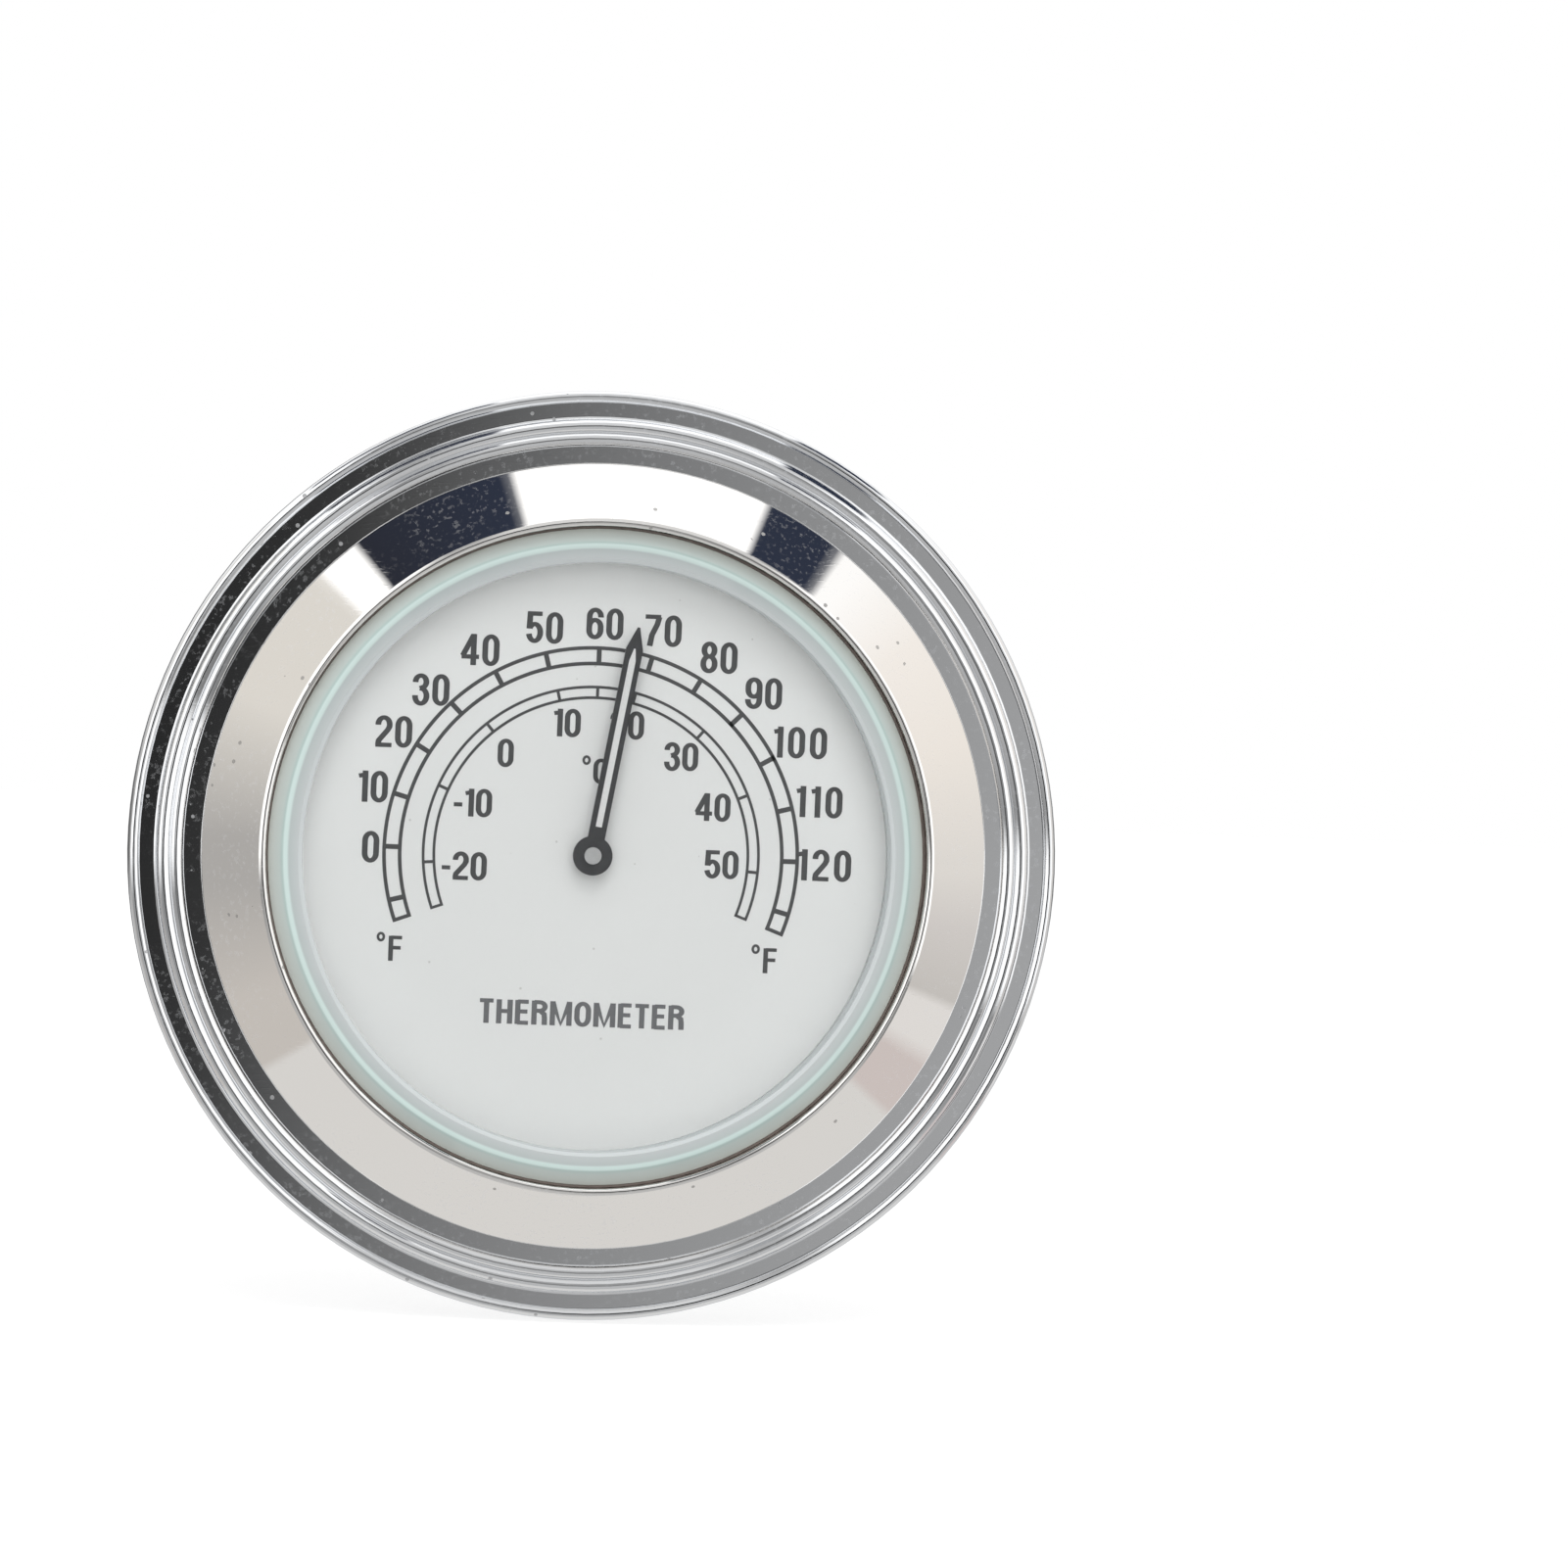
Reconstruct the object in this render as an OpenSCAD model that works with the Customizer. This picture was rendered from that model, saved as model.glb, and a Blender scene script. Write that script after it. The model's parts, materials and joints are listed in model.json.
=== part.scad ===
// Round dial thermometer with a bimetal movement, clamped to a tube.
// Millimetres, +Z up (12 o'clock), the dial faces -Y, and the tube runs along X.
// Each piece is drawn with its dial towards +z and is turned to the front by facing().

/* [Tube clamp] */
// Diameter of the tube that the clamp grips
bar_d = 22.2; // [20:0.1:26]
// Thickness of the soft liner round the tube
liner_t = 1.6; // [1:0.1:2.4]
// Wall of the clamp over the liner
clamp_wall = 3.2; // [2.6:0.1:4.4]
// Width of the clamp along the tube
clamp_w = 16; // [12:0.5:19]
// Height of each clamp ear
ear_h = 5; // [4:0.1:6]
// Distance from the clamp's wall to the centre of its screws
ear_offset = 3.78; // [3.6:0.02:5]
// Distance from the screws to the tip of the ears
ear_tip = 3.7; // [3.5:0.1:5]
// Gap between the two halves of the clamp
split_gap = 1.2; // [0.6:0.1:2]
// Width of the saddle's flat top, across the tube
saddle_w = 24; // [22:0.5:27]
// Distance between the two screws that hold the saddle
saddle_pitch = 15; // [14:0.5:18]

/* [Housing] */
// Diameter of the housing's front flange, the largest size
flange_d = 60; // [52:0.5:74]
// Thickness of the flange
flange_t = 3; // [2.4:0.1:4]
// Width of the raised lip round the flange
lip_w = 0.74; // [0.5:0.02:1]
// Width of the sunken channel inside the lip, with its cove
channel_w = 1.16; // [0.9:0.02:1.8]
// Width of the double bead
bead_w = 1.66; // [1.4:0.02:2]
// Width of the flat groove between the bead and the bezel
groove_w = 1.08; // [0.6:0.02:2]
// Height of the bead over the groove
bead_h = 0.55; // [0.3:0.05:0.8]
// Depth of the channel under the groove's level
channel_drop = 0.3; // [0.1:0.05:0.5]
// Depth of the round cup behind the flange
cup_depth = 14.8; // [13.4:0.1:20]
// Wall of the cup
cup_wall = 3.5; // [2.8:0.1:4.5]
// Thickness of the cup's floor
floor_t = 2.2; // [2:0.1:3]
// Rounding between the cup's side and back
back_round = 7.5; // [4:0.1:7.5]

/* [Insert] */
// Width of the sloping bezel ring
bezel_w = 4.06; // [3:0.02:6]
// Height of the bezel's outer edge
bezel_edge_h = 0.6; // [0.5:0.1:1]
// Thickness of the crystal
crystal_t = 2.4; // [1.8:0.1:3.2]
// Depth of the crystal's face under the bezel's crest
crystal_recess = 0.3; // [0.2:0.1:0.8]
// Width of the sloping edge of the crystal
crystal_slope_w = 1.88; // [1:0.02:2.4]
// Thickness of the gasket round the crystal
gasket_t = 0.15; // [0.12:0.01:0.4]
// Wall of the movement's case
case_wall = 0.5; // [0.4:0.05:0.8]
// Wall of the bezel's skirt over the case
skirt_t = 0.58; // [0.4:0.02:1]
// Length of the bezel's skirt
skirt_l = 3.3; // [2.4:0.1:3.6]
// Radial width of the ring over the dial's edge
spacer_w = 0.87; // [0.6:0.01:1.4]
// Distance from the dial to the crystal
dial_depth = 3.2; // [2.6:0.1:3.6]
// Thickness of the dial plate
dial_t = 0.4; // [0.3:0.05:0.8]
// Thickness of the movement plate
plate_t = 1; // [0.9:0.1:1.4]
// Thickness of the case's rear cover
cover_t = 1.2; // [0.8:0.1:1.6]

/* [Movement] */
// Reading at rest, in degrees of angle clockwise from 12 o'clock
pointer_angle = 9.2; // [-110:0.1:110]
// Length of the pointer from the arbor to its tip
pointer_l = 15.05; // [12:0.05:17]
// Width of the pointer's blade
pointer_w = 1.1; // [0.8:0.05:1.4]
// Diameter of the arbor
arbor_d = 1.1; // [0.8:0.05:1.3]
// Thickness of the bimetal strip
strip_t = 0.3; // [0.2:0.05:0.5]
// Height of the bimetal strip
strip_h = 3; // [2:0.1:3.4]
// Pitch from one turn of the coil to the next
coil_pitch = 1.4; // [1:0.05:1.6]
// Turns in the coil
coil_turns = 5.5; // [4:0.5:6.5]

/* [Hidden] */
$fn = 96;
eps = 0.01;

// Clearances
press_gap = 0.02;   // pieces that are pressed or glued together
run_gap = 0.03;     // the arbor in its bushes
turn_gap = 0.1;     // the insert in the housing
thread_gap = 0.05;  // a screw in its thread

// Tube clamp
bar_r = bar_d / 2;
shell_r = bar_r + liner_t + press_gap;
crown_r = shell_r + clamp_wall;
screw_y = shell_r + ear_offset;
ear_reach = screw_y + ear_tip;
ear_round = 1.4;
plan_round = 5;
saddle_round = 2;
split_z = split_gap / 2;
ear_z = split_z + ear_h;
saddle_ear_z = ear_z + 1.4;
saddle_z = crown_r + 0.08;

// Screws: a thread radius, a head and a hexagon socket each
clamp_thread_r = 1.5;
clamp_head_r = 2.85;
clamp_head_h = 1.65;
clamp_key = 2;
clamp_screw_l = 12;
washer_r = 3;
washer_t = 0.5;
spot_r = 3.3;
pass_gap = 0.2;
blind_gap = 0.5;
flat_head_r = 2.75;
flat_head_h = 1.5;
saddle_screw_l = 6;
lock_thread_r = 2;
lock_socket_h = 2;
plate_thread_r = 0.8;
plate_head_r = 1.4;
plate_head_h = 0.8;
plate_screw_l = 3.4;

// Housing radii, from the flange's edge inwards
flange_r = flange_d / 2;
lip_in_r = flange_r - lip_w;
bead_out_r = lip_in_r - channel_w;
bead_in_r = bead_out_r - bead_w;
bezel_r = bead_in_r - groove_w;
bore_r = bezel_r - bezel_w;
cup_r = bore_r + cup_wall;
rim_round = 1.4;
neck_round = 1.6;
cove_r = channel_w / 4;

// Housing levels, from the clamp outwards
floor_z = saddle_z + floor_t;
face_z = floor_z + cup_depth;
flange_back_z = face_z - flange_t;
channel_z = face_z - channel_drop;
crest_z = face_z + bead_h;
lip_z = face_z + 0.2;
bead_curve = 0.3 * bead_w;
lock_z = face_z - skirt_l - lock_thread_r - 0.7;

// Insert radii
skirt_r = bore_r - turn_gap;
case_r = skirt_r - skirt_t - press_gap;
case_in_r = case_r - case_wall;
disc_r = case_in_r - press_gap;
spacer_in_r = disc_r - spacer_w;
crystal_r = bore_r - gasket_t - 2 * press_gap;

// Insert levels
pad_t = 1.1;
bezel_z = face_z + turn_gap;
ledge_z = bezel_z + 0.5;
ledge_t = 1;
gasket_foot = 0.3;
crystal_z = ledge_z + gasket_foot;
crystal_top_z = crystal_z + crystal_t;
crystal_edge_z = crystal_top_z - 1.2;
bezel_crest_z = crystal_top_z + crystal_recess;
case_z = floor_z + pad_t + 0.2;
case_top_z = ledge_z - ledge_t - press_gap;
case_lip_t = 0.5;
cover_z = case_z + case_lip_t;
cover_top_z = cover_z + cover_t;
dial_z = crystal_z - dial_depth;
plate_top_z = dial_z - dial_t;
plate_z = plate_top_z - plate_t;
band_l = 4;

// Movement
arbor_r = arbor_d / 2;
bush_r = arbor_r + 0.6;
bush_flange_r = bush_r + 0.8;
bush_flange_t = 0.45;
collet_r = arbor_r + 1.15;
coil_in_r = collet_r + 0.1;
coil_out_r = coil_in_r + coil_pitch * coil_turns + strip_t;
post_r = 0.9;
post_at = coil_out_r + post_r + press_gap;
coil_z = (cover_top_z + plate_z - strip_h) / 2 - 0.15;
pointer_t = 0.3;
pointer_z = dial_z + 1.2;
hub_r = arbor_r + 0.73;
pillar_r = 1.5;
pillar_at = disc_r - 4.5;
pillar_angles = [90, 210, 330];

// Turns a piece drawn with its dial towards +z so that the dial faces -Y.
module facing() {
    rotate([90, 0, 0]) children();
}

// Places a copy on each side of the tube, at a distance from its axis.
module each_side(distance) {
    for (side = [-1, 1]) translate([0, side * distance, 0]) children();
}

// Places a copy at each pillar.
module each_pillar() {
    for (a = pillar_angles) rotate([0, 0, a]) translate([pillar_at, 0, 0]) children();
}

// Points of an arc of radius r about c, from angle a to angle b.
function arc(c, r, a, b, n = 12) =
    [for (i = [0:n]) let (t = a + (b - a) * i / n) [c[0] + r * cos(t), c[1] + r * sin(t)]];

// A tube or ring between two radii, standing on level z.
module ring(outer, inner, z, height) {
    translate([0, 0, z]) difference() {
        cylinder(r = outer, h = height);
        translate([0, 0, -1]) cylinder(r = inner, h = height + 2);
    }
}

// A rectangle with round corners about the origin.
module round_rect(width, height, radius) {
    square([width - 2 * radius, height], center = true);
    square([width, height - 2 * radius], center = true);
    for (x = [-1, 1], y = [-1, 1])
        translate([x * (width / 2 - radius), y * (height / 2 - radius)]) circle(r = radius);
}

// Extrudes an outline drawn across the tube (x is up the dial, y is towards it) along the tube.
module along_tube(width) {
    rotate([90, 0, 90]) linear_extrude(height = width, center = true) children();
}

// The outline that rounds the ears of both clamp halves, between two levels.
module clamp_plan(low, high) {
    translate([0, 0, low]) linear_extrude(height = high - low)
        round_rect(clamp_w, 2 * ear_reach, plan_round);
}

// A bore along the tube's axis.
module tube_bore(radius) {
    rotate([0, 90, 0]) cylinder(r = radius, h = clamp_w + 2, center = true);
}

// One button-head screw, its head towards -z and the seat of its head at z = 0.
module button_screw() {
    curve_r = (clamp_head_r * clamp_head_r + clamp_head_h * clamp_head_h) / (2 * clamp_head_h);
    edge = asin(clamp_head_r / curve_r);
    difference() {
        union() {
            rotate_extrude() polygon(concat([[0, 0]],
                arc([0, curve_r - clamp_head_h], curve_r, -90 + edge, -90)));
            cylinder(r = clamp_thread_r, h = clamp_screw_l);
        }
        translate([0, 0, -clamp_head_h - 1]) cylinder(d = clamp_key / cos(30), h = 2.1, $fn = 6);
    }
}

// The cup, the flange and the rings on its face, turned in one piece.
module housing() {
    bead_in = bead_in_r + bead_curve - eps;
    bead_out = bead_out_r - 0.7 * bead_curve;
    curve_z = crest_z - bead_curve;
    half_gap = (bead_out - bead_in) / 2;
    valley = acos(half_gap / bead_curve);
    outline = concat(
        [[0, saddle_z]],
        arc([cup_r - back_round, saddle_z + back_round], back_round, -90, 0, 20),
        arc([cup_r + neck_round, flange_back_z - neck_round], neck_round, 180, 90),
        arc([flange_r - rim_round, flange_back_z + rim_round], rim_round, -90, 0),
        arc([flange_r - lip_w / 2, lip_z - lip_w / 2], lip_w / 2, 0, 180, 16),
        [[lip_in_r, channel_z]],
        arc([bead_out_r + cove_r, channel_z + cove_r], cove_r, -90, -180),
        arc([bead_out, curve_z], bead_curve, 45, 180 - valley, 10),
        arc([bead_in, curve_z], bead_curve, valley, 178, 14),
        [[bead_in_r, face_z], [bore_r, face_z], [bore_r, floor_z], [0, floor_z]]);
    color([0.82, 0.83, 0.84]) facing() difference() {
        rotate_extrude() polygon(outline);
        each_side(saddle_pitch / 2) translate([0, 0, saddle_z - 1]) {
            cylinder(r = clamp_thread_r + pass_gap, h = floor_t + 2);
            translate([0, 0, 1 + floor_t - flat_head_h])
                cylinder(r1 = clamp_thread_r + pass_gap, r2 = flat_head_r + pass_gap, h = flat_head_h);
        }
        translate([0, 0, lock_z]) rotate([90, 0, 0])
            translate([0, 0, bore_r - 1]) cylinder(r = lock_thread_r + thread_gap, h = cup_wall + 2);
    }
}

// The clamp half that carries the housing.
module clamp_saddle() {
    color([0.76, 0.77, 0.79]) facing() difference() {
        intersection() {
            along_tube(clamp_w) {
                circle(r = crown_r);
                translate([0, saddle_z / 2]) round_rect(saddle_w, saddle_z, saddle_round);
                translate([0, saddle_ear_z / 2]) round_rect(2 * ear_reach, saddle_ear_z, ear_round);
            }
            clamp_plan(split_z, saddle_z);
        }
        tube_bore(shell_r);
        each_side(screw_y) translate([0, 0, -1])
            cylinder(r = clamp_thread_r + thread_gap, h = 1 + clamp_screw_l - ear_z - washer_t + blind_gap);
        each_side(saddle_pitch / 2) translate([0, 0, floor_z - saddle_screw_l - 0.2])
            cylinder(r = clamp_thread_r + thread_gap, h = saddle_screw_l);
    }
}

// The clamp half behind the tube.
module clamp_cap() {
    color([0.76, 0.77, 0.79]) facing() difference() {
        intersection() {
            along_tube(clamp_w) {
                circle(r = crown_r);
                translate([0, -ear_z / 2]) round_rect(2 * ear_reach, ear_z, ear_round);
            }
            clamp_plan(-crown_r - 1, -split_z);
        }
        tube_bore(shell_r);
        each_side(screw_y) {
            translate([0, 0, -ear_z - 1]) cylinder(r = clamp_thread_r + pass_gap, h = ear_z + 2);
            translate([0, 0, -ear_z - crown_r]) cylinder(r = spot_r, h = crown_r);
        }
    }
}

// Half of the soft liner; side is 1 in the saddle and -1 in the cap.
module half_liner(side) {
    color([0.16, 0.16, 0.17]) facing() intersection() {
        difference() {
            rotate([0, 90, 0]) cylinder(r = bar_r + liner_t, h = clamp_w, center = true);
            tube_bore(bar_r);
        }
        translate([0, 0, side * (split_z + crown_r)]) cube(2 * crown_r, center = true);
    }
}

module liner_front() { half_liner(1); }

module liner_rear() { half_liner(-1); }

// Two countersunk screws from inside the cup into the saddle.
module saddle_screws() {
    color([0.6, 0.61, 0.62]) facing() each_side(saddle_pitch / 2) difference() {
        translate([0, 0, floor_z]) union() {
            translate([0, 0, -saddle_screw_l]) cylinder(r = clamp_thread_r, h = saddle_screw_l);
            translate([0, 0, -flat_head_h]) cylinder(r1 = clamp_thread_r, r2 = flat_head_r, h = flat_head_h);
        }
        translate([0, 0, floor_z - 1.2]) cylinder(d = clamp_key / cos(30), h = 2, $fn = 6);
    }
}

// The set screw at 6 o'clock that holds the insert.
module lock_screw() {
    low = case_r + thread_gap;
    high = cup_r - 0.15;
    color([0.2, 0.2, 0.21]) facing() translate([0, 0, lock_z]) rotate([90, 0, 0])
        translate([0, 0, low]) difference() {
            cylinder(r = lock_thread_r, h = high - low);
            translate([0, 0, high - low - lock_socket_h])
                cylinder(d = clamp_key / cos(30), h = lock_socket_h + 1, $fn = 6);
        }
}

// The foam washer between the cup's floor and the insert.
module cushion_pad() {
    color([0.25, 0.25, 0.26]) facing() ring(bore_r - 0.8, 4, floor_z, pad_t);
}

// Two screws that close the clamp.
module clamp_screws() {
    color([0.78, 0.79, 0.8]) facing() each_side(screw_y)
        translate([0, 0, -ear_z - washer_t]) button_screw();
}

// A washer under each clamp screw.
module clamp_washers() {
    color([0.7, 0.71, 0.72]) facing() each_side(screw_y)
        ring(washer_r, clamp_thread_r + pass_gap / 2, -ear_z - washer_t, washer_t);
}

// The sloping ring with the ledge under the crystal and the skirt over the case.
module insert_bezel() {
    edge_r = 0.25;
    crest_round = 0.4;
    outline = concat(
        arc([bezel_r - edge_r, bezel_z + bezel_edge_h - edge_r], edge_r, 0, 54, 6),
        arc([bore_r + crest_round, bezel_crest_z - crest_round], crest_round, 54, 180, 14),
        [[bore_r, ledge_z], [case_in_r, ledge_z], [case_in_r, ledge_z - ledge_t],
            [case_r + press_gap, ledge_z - ledge_t], [case_r + press_gap, bezel_z - skirt_l],
            [skirt_r, bezel_z - skirt_l], [skirt_r, bezel_z], [bezel_r, bezel_z]]);
    color([0.86, 0.85, 0.83]) facing() rotate_extrude() polygon(outline);
}

// The can that holds the movement, with a lip behind its cover.
module insert_case() {
    color([0.7, 0.71, 0.72]) facing() {
        ring(case_r, case_in_r, case_z, case_top_z - case_z);
        ring(case_in_r + eps, case_in_r - 1.4, case_z, case_lip_t);
    }
}

// The rubber band that centres the case in the cup.
module fit_band() {
    color([0.12, 0.12, 0.13]) facing()
        ring(skirt_r, case_r + press_gap, case_z + 1, band_l);
}

// The glass over the dial.
module crystal() {
    color([0.85, 0.92, 0.92, 0.3]) facing() rotate_extrude() polygon([[0, crystal_z],
        [crystal_r, crystal_z], [crystal_r, crystal_edge_z],
        [crystal_r - crystal_slope_w, crystal_top_z], [0, crystal_top_z]]);
}

// The L-shaped seal under and round the crystal.
module crystal_gasket() {
    wall_in = crystal_r + press_gap;
    wall_out = bore_r - press_gap;
    color([0.1, 0.1, 0.1]) facing() {
        ring(wall_out, wall_in, crystal_z - eps, crystal_edge_z - crystal_z);
        ring(wall_out, case_in_r + 0.1, ledge_z, gasket_foot);
    }
}

// The ring that keeps the dial down.
module spacer_ring() {
    color([0.7, 0.72, 0.72]) facing()
        ring(disc_r, spacer_in_r, dial_z, crystal_z - press_gap - dial_z);
}

// The dial plate; its scales are printed on it.
module dial() {
    color([0.84, 0.84, 0.84]) facing() ring(disc_r, bush_r + press_gap, plate_top_z, dial_t);
}

// The plate that carries the movement.
module movement_plate() {
    color([0.78, 0.66, 0.38]) facing() difference() {
        ring(disc_r, bush_r + press_gap, plate_z, plate_t);
        each_pillar() {
            translate([0, 0, plate_z - 1]) cylinder(r = plate_thread_r + 0.1, h = plate_t + 2);
            translate([0, 0, plate_top_z - plate_head_h])
                cylinder(r = plate_head_r + 0.1, h = plate_head_h + 1);
        }
    }
}

// A slotted screw in each pillar.
module plate_screws() {
    color([0.62, 0.63, 0.65]) facing() each_pillar() difference() {
        translate([0, 0, plate_top_z - plate_head_h]) union() {
            cylinder(r = plate_head_r, h = plate_head_h);
            translate([0, 0, plate_head_h - plate_screw_l])
                cylinder(r = plate_thread_r, h = plate_screw_l - plate_head_h + eps);
        }
        translate([0, 0, plate_top_z]) cube([0.35, 4, 0.6], center = true);
    }
}

// Posts between the cover and the movement plate.
module pillars() {
    color([0.78, 0.66, 0.38]) facing() each_pillar()
        translate([0, 0, cover_top_z]) difference() {
            cylinder(r = pillar_r, h = plate_z - cover_top_z);
            translate([0, 0, plate_top_z - plate_screw_l - cover_top_z - blind_gap])
                cylinder(r = plate_thread_r + press_gap, h = plate_screw_l + 1);
        }
}

// The rear cover of the case.
module back_cover() {
    color([0.72, 0.73, 0.74]) facing() ring(disc_r, bush_r + press_gap, cover_z, cover_t);
}

// The flanged bearing in the movement plate.
module front_bush() {
    color([0.8, 0.62, 0.3]) facing() {
        ring(bush_r, arbor_r + run_gap, plate_z - eps, plate_t + dial_t);
        ring(bush_flange_r, arbor_r + run_gap, plate_z - bush_flange_t, bush_flange_t);
    }
}

// The flanged bearing in the rear cover, closed at the back.
module rear_bush() {
    color([0.8, 0.62, 0.3]) facing() difference() {
        union() {
            translate([0, 0, cover_z]) cylinder(r = bush_r, h = cover_t + bush_flange_t);
            translate([0, 0, cover_top_z]) cylinder(r = bush_flange_r, h = bush_flange_t);
        }
        translate([0, 0, cover_z + 0.3]) cylinder(r = arbor_r + run_gap, h = cover_t + 1);
    }
}

// The post that holds the coil's outer end.
module anchor_post() {
    color([0.78, 0.66, 0.38]) facing() rotate([0, 0, 360 * coil_turns])
        translate([post_at, 0, cover_top_z]) cylinder(r = post_r, h = coil_z + strip_h + 0.4 - cover_top_z);
}

// A point on the spiral, at a turn and an offset outwards.
function spiral(turn, offset) =
    let (r = coil_in_r + offset + coil_pitch * turn) [r * cos(360 * turn), r * sin(360 * turn)];

// The bimetal spiral that turns the arbor with the temperature.
module bimetal_coil() {
    steps = coil_turns * 28;
    inner = [for (i = [0:steps]) spiral(i / 28, 0)];
    outer = [for (i = [steps:-1:0]) spiral(i / 28, strip_t)];
    color([0.66, 0.6, 0.52]) facing() translate([0, 0, coil_z])
        linear_extrude(height = strip_h) polygon(concat(inner, outer));
}

// The flat pointer with its round hub.
module pointer() {
    half = pointer_w / 2;
    tip_half = 0.07;
    tip_l = 1.45;
    color([0.2, 0.2, 0.21]) facing() rotate([0, 0, -pointer_angle])
        translate([0, 0, pointer_z]) linear_extrude(height = pointer_t) difference() {
            union() {
                circle(r = hub_r);
                polygon([[-half, 0], [half, 0], [half, pointer_l - tip_l], [tip_half, pointer_l],
                    [-tip_half, pointer_l], [-half, pointer_l - tip_l]]);
            }
            circle(r = arbor_r + press_gap / 2);
        }
}

// The collar that carries the pointer.
module pointer_bush() {
    color([0.7, 0.7, 0.71]) facing()
        ring(arbor_r + 0.4, arbor_r + press_gap / 2, dial_z + 0.3, pointer_z - dial_z - 0.3);
}

// The shaft through the movement.
module arbor() {
    low = cover_z + 0.45;
    color([0.62, 0.63, 0.64]) facing()
        translate([0, 0, low]) cylinder(r = arbor_r, h = pointer_z + pointer_t + 0.2 - low);
}

// The collet that takes the coil's inner end.
module coil_collet() {
    color([0.8, 0.62, 0.3]) facing()
        ring(collet_r, arbor_r + press_gap / 2, coil_z - 0.3, strip_h + 0.6);
}

housing();
clamp_saddle();
liner_front();
saddle_screws();
lock_screw();
cushion_pad();
clamp_cap();
liner_rear();
clamp_screws();
clamp_washers();
insert_bezel();
insert_case();
fit_band();
crystal();
crystal_gasket();
spacer_ring();
dial();
movement_plate();
plate_screws();
pillars();
back_cover();
front_bush();
rear_bush();
anchor_post();
bimetal_coil();
pointer();
pointer_bush();
arbor();
coil_collet();
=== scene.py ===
"""Looks of a round chrome dial thermometer on a tube clamp.

Everything is in metres, in the CAD model's frame: +Z is 12 o'clock, the dial faces -Y and the
clamp's tube runs along X. MM turns the millimetres of the drawing into metres.
"""
import json
import math

import bpy
import bmesh
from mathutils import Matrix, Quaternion, Vector


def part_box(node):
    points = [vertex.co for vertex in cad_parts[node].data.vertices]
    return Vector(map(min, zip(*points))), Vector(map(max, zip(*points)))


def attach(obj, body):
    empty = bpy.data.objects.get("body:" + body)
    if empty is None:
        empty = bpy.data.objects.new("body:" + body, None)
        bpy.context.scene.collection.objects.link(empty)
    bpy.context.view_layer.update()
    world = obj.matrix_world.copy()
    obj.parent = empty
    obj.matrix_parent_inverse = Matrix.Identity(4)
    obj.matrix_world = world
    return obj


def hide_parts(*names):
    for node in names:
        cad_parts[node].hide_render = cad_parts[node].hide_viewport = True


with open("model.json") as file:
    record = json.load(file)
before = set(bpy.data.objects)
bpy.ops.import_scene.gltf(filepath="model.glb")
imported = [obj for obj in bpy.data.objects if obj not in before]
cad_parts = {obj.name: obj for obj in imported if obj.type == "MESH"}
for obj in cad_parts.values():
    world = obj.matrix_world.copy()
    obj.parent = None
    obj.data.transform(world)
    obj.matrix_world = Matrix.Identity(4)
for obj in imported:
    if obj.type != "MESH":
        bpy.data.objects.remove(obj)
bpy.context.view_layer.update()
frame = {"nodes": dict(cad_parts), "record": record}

MM = 0.001
NODES = frame["nodes"]


# ---------------------------------------------------------------- places from the frame

def level(node):
    """Distance in front of the tube's axis, in mm, of a node's front face."""
    return -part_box(node)[0].y / MM


def radius(node):
    """Outer radius of a turned node, in mm."""
    low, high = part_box(node)
    return (high.x - low.x) / 2 / MM


CRYSTAL_R = radius("crystal")
DIAL_Z = level("dial")
SLOPE_W, LIP_W = 1.88, 0.78        # the crystal's slope, and the bezel's rounded lip with its seat, in mm
SLOPE_IN_R = CRYSTAL_R - SLOPE_W   # where the crystal's slope meets its flat face
LIP_R = CRYSTAL_R + LIP_W          # where the bezel's cone ends and its lip begins
LIP_LEAN = 0.45                    # share of outward lean that is added to the lip's normal
CENTRE = Vector((0, -level("housing") * MM, 0))


def at(x, y, z):
    """A point in the shared frame from dial coordinates: x right, y up, z towards the viewer."""
    return Vector((x * MM, -z * MM, y * MM))


def polar(r, angle):
    """Dial x and y at a radius and an angle in degrees clockwise from 12 o'clock."""
    a = math.radians(angle)
    return r * math.sin(a), r * math.cos(a)


# ---------------------------------------------------------------- materials

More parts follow.
